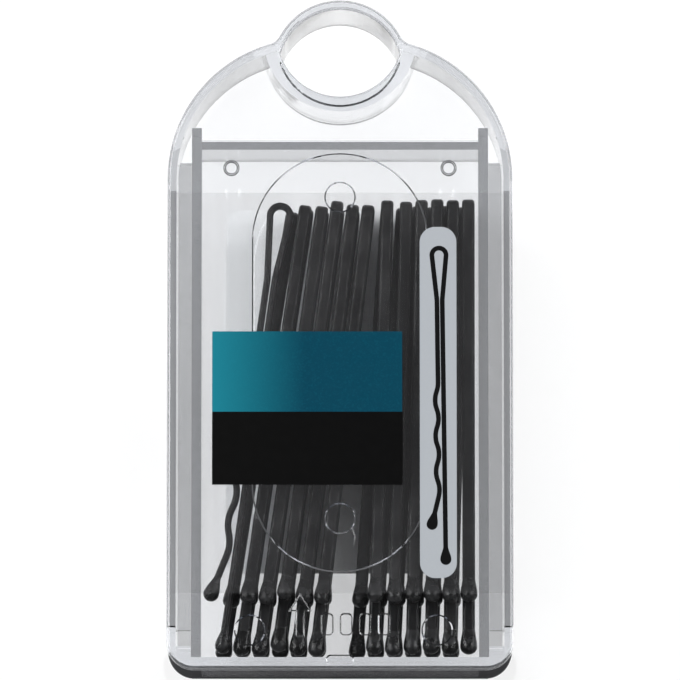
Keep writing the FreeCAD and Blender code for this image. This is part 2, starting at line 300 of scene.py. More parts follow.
@dataclass(frozen=True)
class HazyFilm(Finish):
    """Clear printed film with a faint grey haze that runs in streaks along it."""

    colour: Colour
    haze: Pair
    hem: Pair = (18.3 * MM, 18.8 * MM)
    hem_haze: float = 0.15
    gloss: Pair = (0.16, 0.3)
    ripple: float = 0.03 * MM

    def dress(self, board: NodeBoard) -> None:
        """Lay out a thin haze in streaks that fades at the hems.

        Args:
            board: Empty board of the material.
        """
        streak = board.grain(420.0, 3.0, (1.0, 0.08, 1.0))
        crease = board.grain(1500.0, 4.0)
        side = board.add("Math", {0: board.across()}, operation="ABSOLUTE").outputs[0]
        haze = board.spread(streak, NOISE_SPAN, self.haze)
        hem = board.spread(side, self.hem, (1.0, self.hem_haze))
        fade = board.add("Math", {0: haze, 1: hem}, operation="MULTIPLY")
        film = board.add("BsdfPrincipled", {
            "Base Color": board.blend(crease, self.colour, tuple(0.94 * c for c in self.colour)),
            "Roughness": board.spread(crease, NOISE_SPAN, self.gloss),
            "Alpha": fade.outputs[0],
            "Normal": board.relief(streak, self.ripple, 0.3),
        })
        board.close(film)


@dataclass(frozen=True)
class PrintInk(Finish):
    """Printed ink with a painted light across the case, lighter towards the left as if lit more from that
    side, and a fine halftone.
    """

    left: Colour
    right: Colour
    span: Pair = (-16.0 * MM, 16.0 * MM)
    gloss: Pair = (0.33, 0.36)
    specular: float = 0.16
    speck_lift: float = 1.35
    dot_height: float = 0.004 * MM

    def dress(self, board: NodeBoard) -> None:
        """Lay out a painted light across the case, lighter towards the left, and a fine halftone.

        Args:
            board: Empty board of the material.
        """
        # Painted light: the colour runs from the lighter left one to the darker right one, as if lit more from
        # the left.
        tone = board.blend(board.spread(board.across(), self.span, (0.0, 1.0)), self.left, self.right)
        dots = board.grain(5200.0, 2.0)
        lifted = tuple(min(1.0, self.speck_lift * part) for part in self.left)
        speck = board.blend(board.spread(dots, (0.5, 0.8), (0.0, 0.08)), tone, lifted)
        ink = board.add("BsdfPrincipled", {
            "Base Color": speck,
            "Roughness": board.spread(board.grain(900.0), NOISE_SPAN, self.gloss),
            "Specular IOR Level": self.specular,
            "Normal": board.relief(dots, self.dot_height, 0.25),
        })
        board.close(ink)


@dataclass(frozen=True)
class BlackEnamel(Finish):
    """Satin black enamel on flattened spring wire, with drawn streaks and rubbed patches."""

    name: str = "black_enamel"
    deep: Colour = (0.003, 0.003, 0.0035)
    rubbed: Colour = (0.018, 0.0175, 0.018)
    gloss: Pair = (0.3, 0.46)
    specular: float = 0.2
    speck_height: float = 0.008 * MM

    def dress(self, board: NodeBoard) -> None:
        """Lay out deep black with rubbed patches and drawn streaks.

        Args:
            board: Empty board of the material.
        """
        streak = board.grain(2400.0, 3.0, (1.0, 0.05, 1.0))
        patch = board.grain(210.0, 4.0)
        speck = board.grain(9000.0, 2.0)
        coat = board.add("BsdfPrincipled", {
            "Base Color": board.blend(board.spread(patch, (0.42, 0.72), (0.0, 1.0)), self.deep, self.rubbed),
            "Roughness": board.spread(streak, NOISE_SPAN, self.gloss),
            "Specular IOR Level": self.specular,
            "Normal": board.relief(speck, self.speck_height, 0.35),
        })
        board.close(coat)


@dataclass(frozen=True)
class DippedResin(Finish):
    """Black resin drops, dipped and air dried, a little glossier than the wire."""

    name: str = "dipped_resin"
    deep: Colour = (0.003, 0.003, 0.003)
    dusty: Colour = (0.016, 0.016, 0.017)
    gloss: Pair = (0.2, 0.34)
    specular: float = 0.35
    peel_height: float = 0.02 * MM

    def dress(self, board: NodeBoard) -> None:
        """Lay out clouded black with a slight orange peel.

        Args:
            board: Empty board of the material.
        """
        cloud = board.grain(700.0, 4.0)
        peel = board.grain(2600.0, 2.0)
        drop = board.add("BsdfPrincipled", {
            "Base Color": board.blend(board.spread(cloud, (0.4, 0.75), (0.0, 1.0)), self.deep, self.dusty),
            "Roughness": board.spread(cloud, NOISE_SPAN, self.gloss),
            "Specular IOR Level": self.specular,
            "Normal": board.relief(peel, self.peel_height, 0.3),
        })
        board.close(drop)


@dataclass(frozen=True)
class LabelPaper(Finish):
    """Uncoated white label paper with fibres, thin enough to let light through."""

    name: str = "label_paper"
    sheet: Colour = (0.86, 0.865, 0.87)
    fibre: Colour = (0.78, 0.785, 0.79)
    thinness: float = 0.7
    gloss: Pair = (0.72, 0.9)
    fibre_height: float = 0.02 * MM

    def dress(self, board: NodeBoard) -> None:
        """Lay out a fibrous sheet mixed with light from behind it.

        Args:
            board: Empty board of the material.
        """
        fibres = board.grain(2800.0, 6.0, (1.0, 0.35, 1.0))
        cloud = board.grain(240.0, 3.0)
        paper = board.add("BsdfPrincipled", {
            "Base Color": board.blend(board.spread(fibres, (0.45, 0.75), (0.0, 0.8)), self.sheet, self.fibre),
            "Roughness": board.spread(cloud, NOISE_SPAN, self.gloss),
            "Normal": board.relief(fibres, self.fibre_height, 0.5),
        })
        through = board.add("BsdfTranslucent", {"Color": (*self.sheet, 1.0)})
        mixed = board.add("MixShader", {0: self.thinness, 1: paper.outputs[0], 2: through.outputs[0]})
        board.close(mixed)


@dataclass(frozen=True)
class SeamlessPaper(Finish):
    """Pale translucent sheet under the case, lit from below."""

    name: str = "seamless_paper"
    light: Colour = (0.32, 0.32, 0.32)
    shade: Colour = (0.29, 0.29, 0.292)
    glow: float = 0.71

    def dress(self, board: NodeBoard) -> None:
        """Lay out a pale sheet with an even glow.

        Args:
            board: Empty board of the material.
        """
        paper = board.add("BsdfPrincipled", {
            "Base Color": board.blend(board.grain(900.0, 3.0), self.light, self.shade),
            "Roughness": 0.9,
            "Specular IOR Level": 0.1,
            "Emission Color": (1.0, 1.0, 1.0, 1.0),
            "Emission Strength": self.glow,
        })
        board.close(paper)


@dataclass(frozen=True)
class PlainCard(Finish):
    """Plain studio card."""

    colour: Colour

    def dress(self, board: NodeBoard) -> None:
        """Lay out one flat colour.

        Args:
            board: Empty board of the material.
        """
        card = board.add("BsdfDiffuse", {"Color": (*self.colour, 1.0)})
        board.close(card)


def add_object(name: str, mesh: bpy.types.Mesh) -> bpy.types.Object:
    """Put a mesh in the scene at the origin.

    Args:
        name: Name of the piece.
        mesh: Its mesh, in place.

    Returns:
        The new object.
    """
    piece = bpy.data.objects.new(name, mesh)
    bpy.context.scene.collection.objects.link(piece)
    return piece


def baked(piece: bpy.types.Object) -> bpy.types.Object:
    """Turn a piece and its live modifiers into a plain mesh of the same name.

    Args:
        piece: Object with modifiers.

    Returns:
        New object without modifiers.
    """
    name = piece.name
    graph = bpy.context.evaluated_depsgraph_get()
    mesh = bpy.data.meshes.new_from_object(piece.evaluated_get(graph), depsgraph=graph)
    bpy.data.objects.remove(piece)
    mesh.name = name
    return add_object(name, mesh)


def mesh_from(name: str, bm: bmesh.types.BMesh, smooth: bool = True) -> bpy.types.Mesh:
    """Close a bmesh into a mesh with its faces outwards.

    Args:
        name: Name of the mesh.
        bm: Shape; it is freed.
        smooth: Whether its faces shade smoothly.

    Returns:
        The mesh.
    """
    bmesh.ops.recalc_face_normals(bm, faces=bm.faces)
    for face in bm.faces:
        face.smooth = smooth
    mesh = bpy.data.meshes.new(name)
    bm.to_mesh(mesh)
    bm.free()
    return mesh


@dataclass(frozen=True)
class PaintedShadeFaces:
    """Faces of a moulding that get a painted shade, picked by the way they face and where they lie."""

    facing: Triple
    level: float
    share: float
    reach: float = 0.02 * MM
    aim: float = 0.95
    along: Pair = (-FAR, FAR)
    across: Pair = (0.0, FAR)

    def holds(self, face: bpy.types.MeshPolygon) -> bool:
        """Tell whether a face is one of these.

        Args:
            face: Face of the moulding.

        Returns:
            Whether its aim, its level and its place along and across the case all fit.
        """
        facing = Vector(self.facing)
        middle = face.center
        level = abs(middle.dot(facing) - self.level) < self.reach
        along = self.along[0] < middle.y < self.along[1]
        across = self.across[0] < abs(middle.x) < self.across[1]
        return level and along and across and face.normal.dot(facing) > self.aim


@dataclass
class ClearMoulding:
    """One clear moulding of the case, with even normals and a painted shade on the ends of its walls."""

    node: str
    body: Body
    slot: Slot
    finish: ClearPlastic
    painted_shade_faces: Sequence[PaintedShadeFaces] = ()
    cuts: Sequence[Triple] = ()
    sharp_angle: float = 28.0
    weld: float = 0.0005 * MM

    def build(self) -> bpy.types.Object:
        """Build the moulding and let it stand for its node.

        Returns:
            The finished piece.
        """
        bm = bmesh.new()
        bm.from_mesh(frame["nodes"][self.node].data)
        bmesh.ops.remove_doubles(bm, verts=bm.verts, dist=self.weld)
        for point in self.cuts:
            bmesh.ops.bisect_plane(bm, geom=[*bm.verts, *bm.edges, *bm.faces], dist=self.weld,
                                   plane_co=point, plane_no=Vector(point).normalized())
        for face in bm.faces:
            face.smooth = True
        for edge in bm.edges:
            edge.smooth = edge.calc_face_angle(math.pi) < math.radians(self.sharp_angle)
        mesh = bpy.data.meshes.new(self.node)
        bm.to_mesh(mesh)
        bm.free()
        piece = add_object(f"{self.node}_moulding", mesh)
        even = piece.modifiers.new("even", "WEIGHTED_NORMAL")
        even.keep_sharp = True
        even.weight = 100
        piece = baked(piece)
        piece.data.materials.clear()
        piece.data.materials.append(self.finish.material())
        self.mark_painted_shade(piece.data)
        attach(piece, self.body.value)
        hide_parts(self.node)
        return piece

    def mark_painted_shade(self, mesh: bpy.types.Mesh) -> None:
        """Mark the faces that get a painted shade, such as the ends of upright walls, which look grey because
        light runs along inside them.

        Args:
            mesh: Mesh of the moulding.
        """
        shade = mesh.attributes.new(PAINTED_WALL_SHADE, "FLOAT", "FACE")
        for face, value in zip(mesh.polygons, shade.data):
            # Each face gets the largest painted shade share of the groups that hold it.
            value.value = max([0.0, *(dark.share for dark in self.painted_shade_faces if dark.holds(face))])


@dataclass
class ClearCase:
    """Tray and cover of the case, with a painted shade on the faces that end their upright walls and on a few
    other faces.
    """

    tray_plastic: ClearPlastic
    cover_plastic: ClearPlastic
    # Each share is how much painted shade a group of faces gets; the other sizes place those faces.
    end_wall: float = 1.4 * MM
    walls_length: float = 56.8 * MM
    walls_inset: float = 2.7 * MM
    walls_share: float = 0.8
    head_wall_share: float = 0.55
    tongue_top: float = 6.4 * MM
    tongue_share: float = 0.58
    foot_reach: float = 2.0 * MM
    foot_aim: float = 0.3
    tray_foot_share: float = 0.95
    plate_foot_share: float = 0.97
    skirt_edge: float = 0.3 * MM
    skirt_head: float = 17.0 * MM
    skirt_share: float = 0.8
    shoulder_inside: float = 9.0 * MM
    shoulder_share: float = 0.22
    corner_inside: float = 17.6 * MM
    corner_length: float = 5.0 * MM
    corner_share: float = 0.5
    hole_top: PaintedShadeFaces = PaintedShadeFaces(FOOTWARD, -34.0 * MM, 0.38, reach=2.6 * MM, aim=0.2)
    hole_flank: float = 27.5 * MM
    hole_flank_slant: float = 0.707
    hole_flank_reach: float = 3.0 * MM
    hole_flank_shares: tuple[Pair, ...] = ((0.76, 0.44), (0.83, 0.5), (0.89, 0.56), (0.94, 0.63), (0.98, 0.7))
    front_round: float = 0.22 * MM
    front_round_reach: float = 0.2 * MM
    front_round_aim: float = 0.1
    front_round_share: float = 0.4

    def build_tray(self) -> bpy.types.Object:
        """Build the tray: painted shade on the tops of its walls and tongues, its head wall and its foot.

        Returns:
            The tray.
        """
        low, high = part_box("tray")
        foot = low.y + self.end_wall
        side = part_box("cover")[1].x - self.walls_inset
        dark = (
            PaintedShadeFaces(UP, high.z, self.walls_share, along=(foot, FAR), across=(0.0, side)),
            PaintedShadeFaces(UP, self.tongue_top, self.tongue_share),
            PaintedShadeFaces(FOOTWARD, -foot - self.walls_length, self.head_wall_share),
            PaintedShadeFaces(FOOTWARD, -low.y, self.tray_foot_share, self.foot_reach, self.foot_aim),
        )
        cuts = ((0.0, foot, 0.0), (side, 0.0, 0.0), (-side, 0.0, 0.0))
        return ClearMoulding("tray", Body.TRAY, Slot.TRAY_PLASTIC, self.tray_plastic, dark, cuts).build()

    def build_cover(self) -> bpy.types.Object:
        """Build the cover: painted shade on its foot, skirt ends, hole wall and the rounded front edge of the
        head.

        Returns:
            The cover.
        """
        low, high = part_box("cover")
        walls = high.x - self.walls_inset
        core = high.x - self.skirt_edge
        head = self.skirt_head
        slant = self.hole_flank_slant
        flanks = [
            PaintedShadeFaces((side, -slant, 0.0), -self.hole_flank, share, self.hole_flank_reach, aim)
            for side in (-slant, slant) for aim, share in self.hole_flank_shares]
        dark = (
            PaintedShadeFaces(FOOTWARD, -low.y, self.plate_foot_share, self.foot_reach, self.foot_aim),
            PaintedShadeFaces(DOWN, -low.z, self.shoulder_share, across=(self.shoulder_inside, FAR)),
            PaintedShadeFaces(DOWN, -low.z, self.corner_share,
                      along=(head, head + self.corner_length), across=(self.corner_inside, FAR)),
            PaintedShadeFaces(DOWN, -low.z, self.skirt_share, along=(-FAR, head), across=(walls, core)),
            self.hole_top,
            *flanks,
            PaintedShadeFaces(UP, high.z - self.front_round, self.front_round_share,
                      self.front_round_reach, self.front_round_aim, along=(head, FAR)),
        )
        cuts = ((core, 0.0, 0.0), (-core, 0.0, 0.0), (0.0, head, 0.0))
        return ClearMoulding("cover", Body.COVER, Slot.COVER_PLASTIC, self.cover_plastic, dark, cuts).build()

    def build(self) -> list[bpy.types.Object]:
        """Build both mouldings."""
        return [self.build_tray(), self.build_cover()]


class FlatPen:
    """Draws a wire's middle line of straight runs and tangent arcs in its own plane."""

    end_share = 0.25
    end_reach = 0.4 * MM

    def __init__(self, along: float, across: float, step: float = 6.0) -> None:
        """Set the pen down.

        Args:
            along: Start along the pin.
            across: Start across the pin.
            step: Degrees between points on an arc.
        """
        self.points = [Vector((along, across, 0.0))]
        self.heading = 0.0
        self.step = step

    def ahead(self, turn: float = 0.0) -> Vector:
        """Unit vector at a turn in degrees from the heading."""
        angle = math.radians(self.heading + turn)
        return Vector((math.cos(angle), math.sin(angle), 0.0))

    def run(self, length: float) -> None:
        """Draw a straight run with a point near each of its ends.

        Args:
            length: Length of the run.
        """
        start = self.points[-1]
        inner = min(self.end_share * length, self.end_reach)
        for reach in (inner, length - inner, length):
            self.points.append(start + self.ahead() * reach)

    def bend(self, radius: float, turn: float) -> None:
        """Draw a tangent arc.

        Args:
            radius: Radius of the middle line.
            turn: Turn in degrees, positive to the left.
        """
        side = math.copysign(90.0, turn)
        centre = self.points[-1] + self.ahead(side) * radius
        count = max(3, math.ceil(abs(turn) / self.step))
        for _ in range(count):
            self.heading += turn / count
            self.points.append(centre - self.ahead(side) * radius)


@dataclass
class PinShape:
    """Sizes of one bobby pin and the middle line of its wire."""

    length: float = 51.0 * MM
    wire_width: float = 1.4 * MM
    wire_thickness: float = 0.75 * MM
    wire_round_share: float = 0.499
    leg_gap: float = 0.1 * MM
    loop_width: float = 3.0 * MM
    flank_angle: float = 5.6
    flank_radius: float = 6.0 * MM
    wave_length: float = 5.7 * MM
    wave_height: float = 0.5 * MM
    wave_count: int = 3
    flare_angle: float = 14.0
    flare_length: float = 4.5 * MM
    short_leg_drop: float = 5.6 * MM
    tip_thickness: float = 1.75 * MM
    tip_width: float = 1.9 * MM
    tip_length: float = 3.1 * MM
    tip_cover: float = 1.0 * MM
    tip_neck_share: float = 0.5
    tip_neck_sink: float = 0.03 * MM
    tip_last_ring: float = 86.0

    def middle_line(self) -> list[Vector]:
        """Points of the wire's middle line: long leg, loop, waved leg and flared end.

        Returns:
            Points with X along the pin to its loop and Y across it to the waved leg.
        """
        leg = (self.wire_thickness + self.leg_gap) / 2
        bend = (self.loop_width - self.wire_thickness) / 2
        flank = math.radians(self.flank_angle)
        flare = math.radians(self.flare_angle)
        spread = bend * math.cos(flank) - leg
        knee = self.flank_radius * math.tan(flank / 2)
        knee_at = self.length - self.loop_width / 2 - bend * math.sin(flank) - spread / math.tan(flank)
        flank_run = spread / math.sin(flank) - knee
        quarter = self.wave_length / 4
        wave_turn = 2 * math.degrees(math.atan(self.wave_height / 2 / quarter))
        wave_radius = quarter / math.sin(math.radians(wave_turn))
        wave_top = (self.tip_cover + self.short_leg_drop + self.flare_length * math.cos(flare)
                    + wave_radius * math.sin(flare) + self.wave_count * self.wave_length)
        pen = FlatPen(self.tip_cover, -leg)
        pen.run(knee_at - knee - self.tip_cover)
        pen.bend(self.flank_radius, -self.flank_angle)
        pen.run(flank_run)
        pen.bend(bend, 180 + 2 * self.flank_angle)
        pen.run(flank_run)
        pen.bend(self.flank_radius, -self.flank_angle)
        pen.run(knee_at - knee - wave_top)
        pen.bend(wave_radius, -wave_turn)
        for index in range(self.wave_count):
            pen.bend(wave_radius, 2 * wave_turn)
            last = index == self.wave_count - 1
            pen.bend(wave_radius, -wave_turn - (self.flare_angle if last else wave_turn))
        pen.run(self.flare_length)
        return pen.points

    def drop_mesh(self, name: str, rings: int = 16, sides: int = 24) -> bpy.types.Mesh:
        """Resin drop about a wire end at the origin, with its round end towards +X.

        Args:
            name: Name of the mesh.
            rings: Rings along the drop.
            sides: Points round a ring.

        Returns:
            Closed mesh; Z is its wide direction.
        """
        neck_at = self.tip_cover - self.tip_length
        ball = self.tip_thickness / 2
        ball_at = self.tip_cover - ball
        neck_y = self.wire_thickness / 2 - self.tip_neck_sink
        neck_z = self.wire_width / 2 - self.tip_neck_sink
        squarish, rounded = 4.0, 2.0
        ball_share = 1 - self.tip_neck_share
        last_turn = math.radians(self.tip_last_ring)
        bm = bmesh.new()
        loops = []
        for index in range(rings):
            share = index / (rings - 1)
            if share <= self.tip_neck_share:
                step = share / self.tip_neck_share
                at = neck_at + (ball_at - neck_at) * step
                swell = step * step * (3 - 2 * step)
                half_y = neck_y + (ball - neck_y) * swell
                half_z = neck_z + (self.tip_width / 2 - neck_z) * swell
                power = squarish + (rounded - squarish) * swell
            else:
                angle = (share - self.tip_neck_share) / ball_share * last_turn
                at = ball_at + ball * math.sin(angle)
                half_y = ball * math.cos(angle)
                half_z = self.tip_width / 2 * math.cos(angle)
                power = rounded
            loop = []
            for side in range(sides):
                turn = 2 * math.pi * side / sides
                y = math.copysign(abs(math.cos(turn)) ** (2 / power), math.cos(turn)) * half_y
                z = math.copysign(abs(math.sin(turn)) ** (2 / power), math.sin(turn)) * half_z
                loop.append(bm.verts.new((at, y, z)))
            loops.append(loop)
        for low, high in zip(loops, loops[1:]):
            for side in range(sides):
                after = (side + 1) % sides
                bm.faces.new((low[side], low[after], high[after], high[side]))
        for loop, at in ((loops[0], neck_at), (loops[-1], ball_at + ball)):
            pole = bm.verts.new((at, 0.0, 0.0))
            for side in range(sides):
                bm.faces.new((loop[side], loop[(side + 1) % sides], pole))
        return mesh_from(name, bm)


class ShapeTree:
    """Geometry Nodes tree under construction, with named inputs."""

    def __init__(self, name: str, sizes: Mapping[str, str]) -> None:
        """Start a tree that takes and gives geometry.

        Args:
            name: Name of the tree.
            sizes: Socket type of each named input.
        """
        self.tree = bpy.data.node_groups.new(name, "GeometryNodeTree")
        self.tree.interface.new_socket("Geometry", in_out="INPUT", socket_type="NodeSocketGeometry")
        self.keys = {}
        for label, kind in sizes.items():
            socket = self.tree.interface.new_socket(label, in_out="INPUT", socket_type=kind)
            self.keys[label] = socket.identifier
        self.tree.interface.new_socket("Geometry", in_out="OUTPUT", socket_type="NodeSocketGeometry")
        self.source = self.tree.nodes.new("NodeGroupInput")

    def add(self, kind: str, inputs: Optional[Mapping[Any, Any]] = None, **settings: Any) -> bpy.types.Node:
        """Add a node and fill its sockets.

        Args:
            kind: Full type of the node.
            inputs: Values by socket name or number; an output socket is linked.
            settings: Attributes of the node.

        Returns:
            The new node.
        """
        return add_node(self.tree, kind, inputs, settings)

    def close(self, geometry: Socket) -> None:
        """Realize the geometry, set its material and give it out.

        Args:
            geometry: Geometry that the tree has made.
        """
        real = self.add("GeometryNodeRealizeInstances", {"Geometry": geometry})
        smooth = self.add("GeometryNodeSetShadeSmooth", {"Geometry": real.outputs[0]})
        dressed = self.add("GeometryNodeSetMaterial", {
            "Geometry": smooth.outputs[0], "Material": self.source.outputs["Material"]})
        self.add("NodeGroupOutput", {"Geometry": dressed.outputs[0]})

    def grow(self, name: str, points: Sequence[Vector], values: Mapping[str, Any]) -> bpy.types.Object:
        """Run the tree on an open path and keep the result as a plain mesh.

        Args:
            name: Name of the piece.
            points: Points of the path.
            values: Value of each named input.

        Returns:
            Piece at the origin.
        """
        line = bpy.data.curves.new(name, "CURVE")
        line.dimensions = "3D"
        spline = line.splines.new("POLY")
        spline.points.add(len(points) - 1)
        for target, point in zip(spline.points, points):
            target.co = (*point, 1.0)
        path = bpy.data.objects.new(name, line)
        modifier = path.modifiers.new("shape", "NODES")
        modifier.node_group = self.tree
        for label, value in values.items():
            modifier[self.keys[label]] = value
        bpy.context.scene.collection.objects.link(path)
        return baked(path)


class WireTree(ShapeTree):
    """Sweeps a flattened round wire along a flat path."""

    corner_points = 5

    def __init__(self) -> None:
        """Build the tree: an upright curve normal, a stadium section and the sweep."""
        super().__init__("wire_sweep", {
            "Width": "NodeSocketFloat", "Thickness": "NodeSocketFloat", "Rounding": "NodeSocketFloat",
            "Material": "NodeSocketMaterial"})
        out = self.source.outputs
        level = self.add("GeometryNodeSetCurveNormal", {"Curve": out["Geometry"]}, mode="Z_UP")
        outline = self.add("GeometryNodeCurvePrimitiveQuadrilateral", {
            "Width": out["Thickness"], "Height": out["Width"]})
        rounded = self.add("GeometryNodeFilletCurve", {
            "Curve": outline.outputs[0], "Radius": out["Rounding"], "Limit Radius": True,
            "Count": self.corner_points}, mode="POLY")
        sweep = self.add("GeometryNodeCurveToMesh", {
            "Curve": level.outputs[0], "Profile Curve": rounded.outputs[0], "Fill Caps": True})
        self.close(sweep.outputs[0])


class TipTree(ShapeTree):
    """Sets a resin drop on both ends of a wire path, pointing outwards."""

    def __init__(self) -> None:
        """Build the tree: end points, outward turn and the drops."""
        super().__init__("tip_drops", {"Drop": "NodeSocketObject", "Material": "NodeSocketMaterial"})
        out = self.source.outputs
        ends = self.add("GeometryNodeCurveEndpointSelection", {"Start Size": 1, "End Size": 1})
        tangent = self.add("GeometryNodeInputTangent")
        share = self.add("GeometryNodeSplineParameter")
        sign = self.add("ShaderNodeMath", {
            0: share.outputs["Factor"], 1: 2.0, 2: -1.0}, operation="MULTIPLY_ADD")
        outward = self.add("ShaderNodeVectorMath", {
            0: tangent.outputs[0], "Scale": sign.outputs[0]}, operation="SCALE")
        turn = self.add("FunctionNodeAlignRotationToVector", {"Vector": outward.outputs[0]}, axis="X")
        upright = self.add("FunctionNodeAlignRotationToVector", {
            "Rotation": turn.outputs[0], "Vector": (0.0, 0.0, 1.0)}, axis="Z", pivot_axis="X")
        drop = self.add("GeometryNodeObjectInfo", {"Object": out["Drop"]})
        drops = self.add("GeometryNodeInstanceOnPoints", {
            "Points": out["Geometry"], "Selection": ends.outputs[0],
            "Instance": drop.outputs["Geometry"], "Rotation": upright.outputs[0]})
        self.close(drops.outputs[0])


@dataclass
class PinStock:
    """What every bobby pin is made from: its shape, its trees and a drop to copy."""

    shape: PinShape = field(default_factory=PinShape)
    enamel: BlackEnamel = field(default_factory=BlackEnamel)
    resin: DippedResin = field(default_factory=DippedResin)

    def __post_init__(self) -> None:
        """Make the trees and the drop."""
        self.wire_tree = WireTree()
        self.tip_tree = TipTree()
        self.drop = add_object("drop_pattern", self.shape.drop_mesh("drop_pattern"))

    def clear_away(self) -> None:
        """Remove the drop that the tips were copied from."""
        bpy.data.objects.remove(self.drop)


@dataclass
class BobbyPin:
    """One bobby pin in its place in the case: sprung wire and two resin tips."""

    number: int
    stock: PinStock
    turned_height: float = 2.0 * MM

    @property
    def body(self) -> str:
        """Name of the body that the pin is."""
        return f"pin_{self.number:02d}"

    def lie(self) -> Matrix:
        """Turn of the pin: leaning as it slides, flat or on its side.

        Returns:
            Rotation from the path's plane to the case.
        """
        joint = next(j for j in frame["joints"] if j["child"] == self.body)
        axis = Vector(joint["axis"])
        low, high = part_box(f"{self.body}_wire")
        twist = -90.0 if high.z - low.z < self.turned_height else 0.0
        flat = Matrix(((0, 0, 1, 0), (1, 0, 0, 0), (0, 1, 0, 0), (0, 0, 0, 1)))
        lean = Matrix.Rotation(-math.atan2(axis.x, axis.y), 4, "Z")
        return lean @ Matrix.Rotation(math.radians(twist), 4, "Y") @ flat

    def build(self) -> list[bpy.types.Object]:
        """Build the wire and the tips and let them stand for their nodes.

        Returns:
            Wire and tips.
        """
        shape = self.stock.shape
        points = shape.middle_line()
        wire = self.stock.wire_tree.grow(f"{self.body}_sprung_wire", points, {
            "Width": shape.wire_width, "Thickness": shape.wire_thickness,
            "Rounding": shape.wire_round_share * shape.wire_thickness,
            "Material": self.stock.enamel.material()})
        tips = self.stock.tip_tree.grow(f"{self.body}_resin_tips", points, {
            "Drop": self.stock.drop, "Material": self.stock.resin.material()})
        lie = self.lie()
        wire.data.transform(lie)
        corners = [v.co for v in wire.data.vertices]
        middle = Vector([(min(c[i] for c in corners) + max(c[i] for c in corners)) / 2 for i in range(3)])
        low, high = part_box(f"{self.body}_wire")
        shift = Matrix.Translation((low + high) / 2 - middle)
        wire.data.transform(shift)
        tips.data.transform(shift @ lie)
        for piece, node, slot in ((wire, "wire", Slot.WIRE), (tips, "tips", Slot.RESIN)):
            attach(piece, self.body)
            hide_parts(f"{self.body}_{node}")
        return [wire, tips]


def rounded_outline(low: Sequence[float], high: Sequence[float], radius: float, steps: int = 10) -> list[Pair]:
    """Outline of a rectangle with round corners.

    Args:
        low: Lowest X and Y.
        high: Highest X and Y.
        radius: Corner radius.
        steps: Points on each corner.

    Returns:
        Points in order round the outline.
    """
    corners = (
        (high[0] - radius, low[1] + radius, -90), (high[0] - radius, high[1] - radius, 0),
        (low[0] + radius, high[1] - radius, 90), (low[0] + radius, low[1] + radius, 180))
    points = []
    for x, y, start in corners:
        for step in range(steps + 1):
            angle = math.radians(start + 90 * step / steps)
            points.append((x + radius * math.cos(angle), y + radius * math.sin(angle)))
    return points


def slab(name: str, outline: Sequence[Pair], z0: float, z1: float) -> bpy.types.Object:
    """Thin closed slab over an outline.

    Args:
        name: Name of the piece.
        outline: Points of the outline.
        z0: Lower level.
        z1: Upper level.

    Returns:
        The new piece.
    """
    bm = bmesh.new()
    low = [bm.verts.new((x, y, z0)) for x, y in outline]
    high = [bm.verts.new((x, y, z1)) for x, y in outline]
    bm.faces.new(low)
    bm.faces.new(high)
    for index in range(len(outline)):
        after = (index + 1) % len(outline)
        bm.faces.new((low[index], low[after], high[after], high[index]))
    return add_object(name, mesh_from(name, bm, smooth=False))


